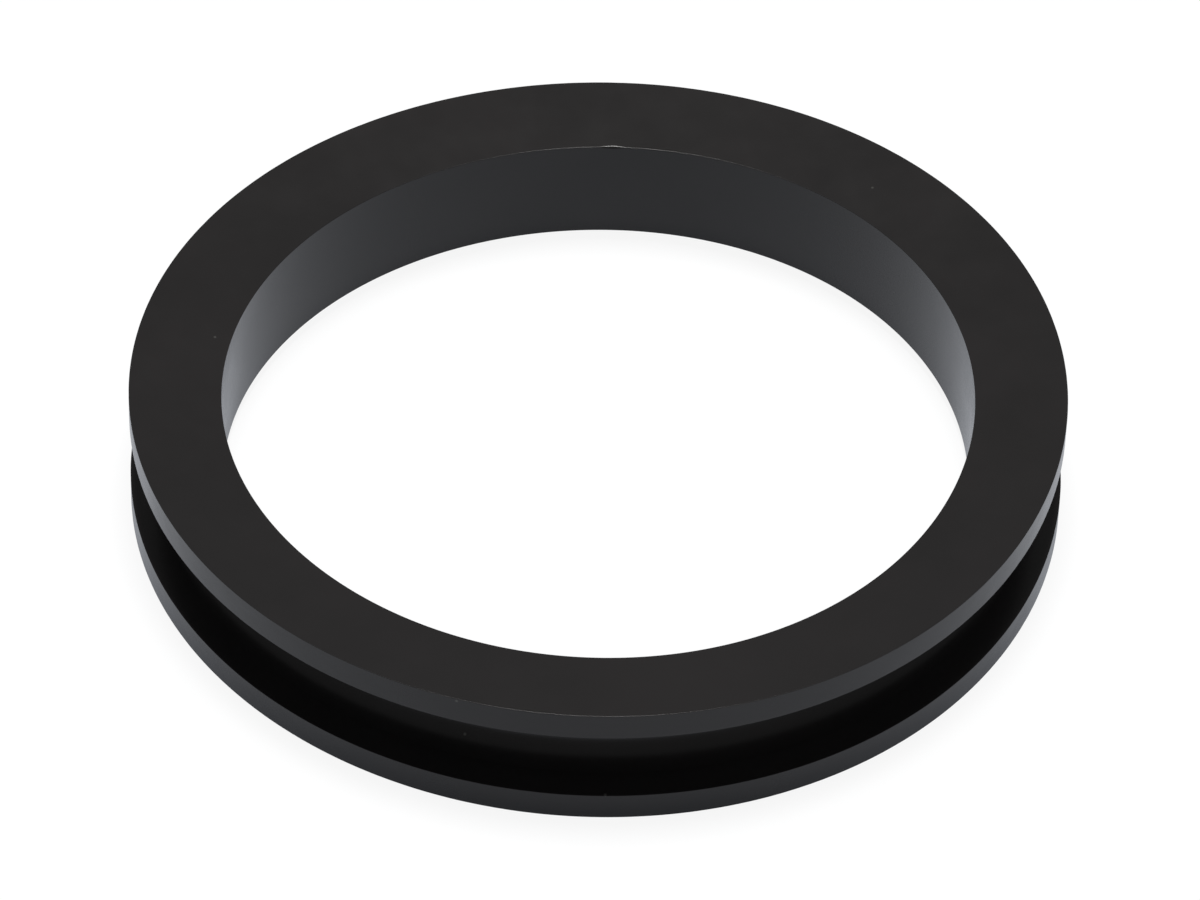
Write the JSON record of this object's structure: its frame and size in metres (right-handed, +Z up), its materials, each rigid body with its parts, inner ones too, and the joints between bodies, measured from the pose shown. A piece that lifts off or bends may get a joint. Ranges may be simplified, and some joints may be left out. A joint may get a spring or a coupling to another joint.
{
  "type": "u cup seal",
  "caption": "One-piece rubber ring seal of U section, with a deep groove open round its outside between flared lips, and a plain bore that grips a spigot.",
  "frame": {"origin": "on the ring's axis, in the plane that the lower lip stands on", "axes": "+Z up along the ring's axis; X and Y lie across the ring, which is the same all the way round"},
  "size_m": [0.0996, 0.0996, 0.0144],
  "materials": {
    "black_rubber": "matt moulded"
  },
  "bodies": {
    "root": {"seal_ring": "black_rubber"}
  },
  "joints": []
}
